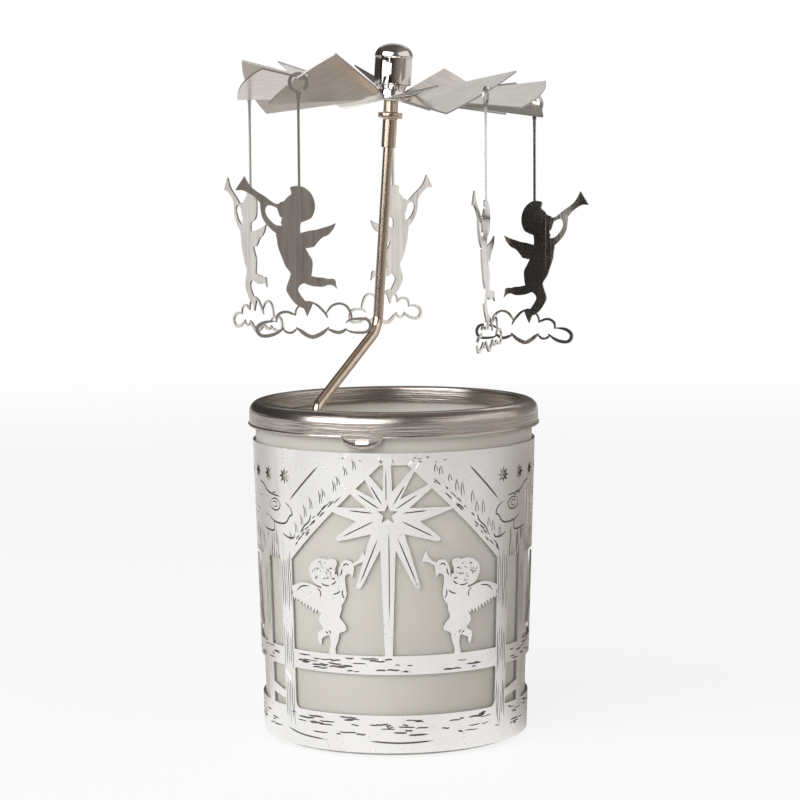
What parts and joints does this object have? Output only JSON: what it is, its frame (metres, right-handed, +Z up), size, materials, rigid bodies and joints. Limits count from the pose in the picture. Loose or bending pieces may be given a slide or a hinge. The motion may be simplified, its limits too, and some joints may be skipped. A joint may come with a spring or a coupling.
{
  "type": "rotating tealight lantern",
  "caption": "Frosted tealight glass in a pierced metal sleeve, with a bent rod carrying a bladed rotor from which flat angel figures hang and turn in the warm air.",
  "frame": {"origin": "centre of the glass's underside, on the surface that the lantern stands on", "axes": "+Z up along the glass's axis, -Y towards the front with the star window, +X to the right seen from the front"},
  "size_m": [0.0861, 0.0882, 0.1597],
  "materials": {
    "frosted_glass": "frosted, acid-matt on the outside",
    "silver_sheet": "bright silver, pierced and etched",
    "brushed_ring": "brushed round, glossy",
    "nickel_rod": "warm nickel, polished",
    "needle_steel": "ground",
    "hub_chrome": "polished",
    "cup_brass": "turned",
    "rotor_sheet": "bright silver, rolled",
    "angel_sheet": "bright silver, rolled, with an etched grain",
    "candle_foil": "pressed foil",
    "candle_wax": "white wax",
    "wick_cotton": "braided cotton"
  },
  "bodies": {
    "glass": {"glass_tumbler": "frosted_glass", "picture_sleeve": "silver_sheet"},
    "topper": {"rim_ring": "brushed_ring", "support_rod": "nickel_rod", "rod_weld": "nickel_rod", "bearing_socket": "nickel_rod", "pivot_needle": "needle_steel"},
    "rotor": {"rotor_blades": "rotor_sheet", "hub_bush": "hub_chrome", "hub_cap": "hub_chrome", "bearing_cup": "cup_brass"},
    "front_left": {"angel_front_left": "angel_sheet"},
    "front_right": {"angel_front_right": "angel_sheet"},
    "right": {"angel_right": "angel_sheet"},
    "rear": {"angel_rear": "angel_sheet"},
    "left": {"angel_left": "angel_sheet"},
    "tealight": {"tealight_cup": "candle_foil", "tealight_wax": "candle_wax", "wick_sustainer": "candle_foil", "tealight_wick": "wick_cotton"}
  },
  "joints": [
    {"name": "topper_lift", "type": "slide", "parent": "glass", "child": "topper", "axis": [0, 0, 1], "range_m": [0, 0.02]},
    {"name": "tealight_lift", "type": "slide", "parent": "glass", "child": "tealight", "axis": [0, 0, 1], "range_m": [0, 0.03]},
    {"name": "rotor_spin", "type": "hinge", "parent": "topper", "child": "rotor", "pos_m": [0, 0, 0.1473], "axis": [0.068, 0, 0.9977], "continuous": true},
    {"name": "front_left_swing", "type": "hinge", "parent": "rotor", "child": "front_left", "pos_m": [-0.02039, -0.0284, 0.15042], "axis": [-0.2419, 0.9703, 0], "range_deg": [-20, 20]},
    {"name": "front_right_swing", "type": "hinge", "parent": "rotor", "child": "front_right", "pos_m": [0.02075, -0.0284, 0.14708], "axis": [-0.9703, 0.2419, 0], "range_deg": [-20, 20]},
    {"name": "right_swing", "type": "hinge", "parent": "rotor", "child": "right", "pos_m": [0.03343, 0.01085, 0.14573], "axis": [-0.5299, -0.848, 0], "range_deg": [-20, 20]},
    {"name": "rear_swing", "type": "hinge", "parent": "rotor", "child": "rear", "pos_m": [0.00021, 0.0351, 0.14918], "axis": [0.7431, -0.6691, 0], "range_deg": [-20, 20]},
    {"name": "left_swing", "type": "hinge", "parent": "rotor", "child": "left", "pos_m": [-0.03325, 0.01085, 0.1492], "axis": [0.8746, 0.4848, 0], "range_deg": [-20, 20]}
  ]
}
